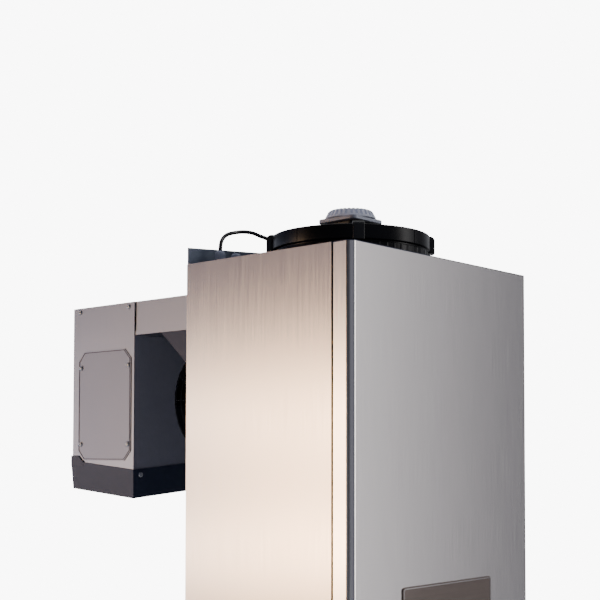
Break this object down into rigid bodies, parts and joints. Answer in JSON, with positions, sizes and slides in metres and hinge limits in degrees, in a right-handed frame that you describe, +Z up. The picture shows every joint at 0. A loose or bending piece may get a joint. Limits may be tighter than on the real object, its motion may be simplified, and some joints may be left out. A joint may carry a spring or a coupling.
{
  "type": "monoblock refrigeration unit",
  "caption": "Wall-mounted monoblock refrigeration unit: tall condensing housing with a fan on top, joined by a shallow duct to an evaporator box with a drip tray.",
  "frame": {"origin": "centre of the four wall bolts, on the outer face of the rear wall plate, which lies against the cold-room wall", "axes": "+X to the unit's right seen from its front, +Y through the wall into the cold room, +Z up"},
  "size_m": [0.55, 0.8146, 1.019],
  "materials": {
    "brushed_stainless": "satin",
    "bead_blasted_plate": "satin",
    "name_plate_metal": "satin",
    "graphite_paint": "satin",
    "dark_fan_plate": "satin",
    "galvanised_sheet": "matte",
    "black_ring_plastic": "gloss",
    "black_arm_paint": "satin",
    "guard_wire_coat": "satin",
    "motor_base_grey": "matte",
    "motor_cap_grey": "matte",
    "blade_plastic": "matte",
    "rotor_steel": "satin",
    "gland_nylon": "matte",
    "cable_sheath": "gloss",
    "coil_aluminium": "satin",
    "copper_tube": "satin",
    "compressor_black": "satin",
    "terminal_plastic": "matte",
    "grommet_rubber": "matte",
    "zinc_fasteners": "satin",
    "valve_brass": "satin",
    "heater_steel": "satin",
    "duct_foam": "matte"
  },
  "bodies": {
    "unit": {"access_plate": "bead_blasted_plate", "access_plate_screws": "zinc_fasteners", "base_pan": "galvanised_sheet", "cable_glands": "gland_nylon", "coil_sensor": "heater_steel", "compressor": "compressor_black", "compressor_bolts": "zinc_fasteners", "compressor_foot_plate": "galvanised_sheet", "compressor_grommets": "grommet_rubber", "compressor_terminal_cover": "terminal_plastic", "condenser_end_plates": "galvanised_sheet", "condenser_fan_guard": "guard_wire_coat", "condenser_fan_ring": "black_ring_plastic", "condenser_fins": "coil_aluminium", "condenser_motor_arms": "black_arm_paint", "condenser_motor_base": "motor_base_grey", "condenser_motor_cap": "motor_cap_grey", "condenser_rails": "galvanised_sheet", "condenser_return_bends": "copper_tube", "contactor": "terminal_plastic", "controller": "terminal_plastic", "defrost_heater": "heater_steel", "discharge_line": "copper_tube", "drip_tray": "graphite_paint", "duct_cover": "brushed_stainless", "duct_floor": "brushed_stainless", "duct_gussets": "graphite_paint", "duct_insulation": "duct_foam", "electrical_box": "galvanised_sheet", "electrical_box_lid": "galvanised_sheet", "evaporator_end_plates": "galvanised_sheet", "evaporator_fan_guard": "guard_wire_coat", "evaporator_fan_plate": "dark_fan_plate", "evaporator_fins": "coil_aluminium", "evaporator_left_panel": "brushed_stainless", "evaporator_motor_arms": "black_arm_paint", "evaporator_motor_base": "motor_base_grey", "evaporator_motor_cap": "motor_cap_grey", "evaporator_outlet_grille": "brushed_stainless", "evaporator_return_bends": "copper_tube", "evaporator_right_panel": "brushed_stainless", "evaporator_top_cover": "brushed_stainless", "expansion_valve": "valve_brass", "fan_cable": "cable_sheath", "filter_drier": "copper_tube", "front_cover": "brushed_stainless", "gland_lock_nuts": "gland_nylon", "left_side_panel": "brushed_stainless", "liquid_feed_line": "copper_tube", "liquid_line": "copper_tube", "name_plate": "name_plate_metal", "rear_wall_plate": "graphite_paint", "right_side_panel": "brushed_stainless", "run_capacitor": "terminal_plastic", "suction_line": "copper_tube", "top_deck": "graphite_paint"},
    "condenser_wheel": {"condenser_impeller": "blade_plastic", "condenser_rotor": "rotor_steel"},
    "evaporator_wheel": {"evaporator_impeller": "blade_plastic", "evaporator_rotor": "rotor_steel"}
  },
  "joints": [
    {"name": "condenser_fan_spin", "type": "hinge", "parent": "unit", "child": "condenser_wheel", "pos_m": [0, -0.173, 0.484], "axis": [0, 0, 1], "continuous": true},
    {"name": "evaporator_fan_spin", "type": "hinge", "parent": "unit", "child": "evaporator_wheel", "pos_m": [0, 0.235, 0.205], "axis": [0, 1, 0], "continuous": true}
  ]
}
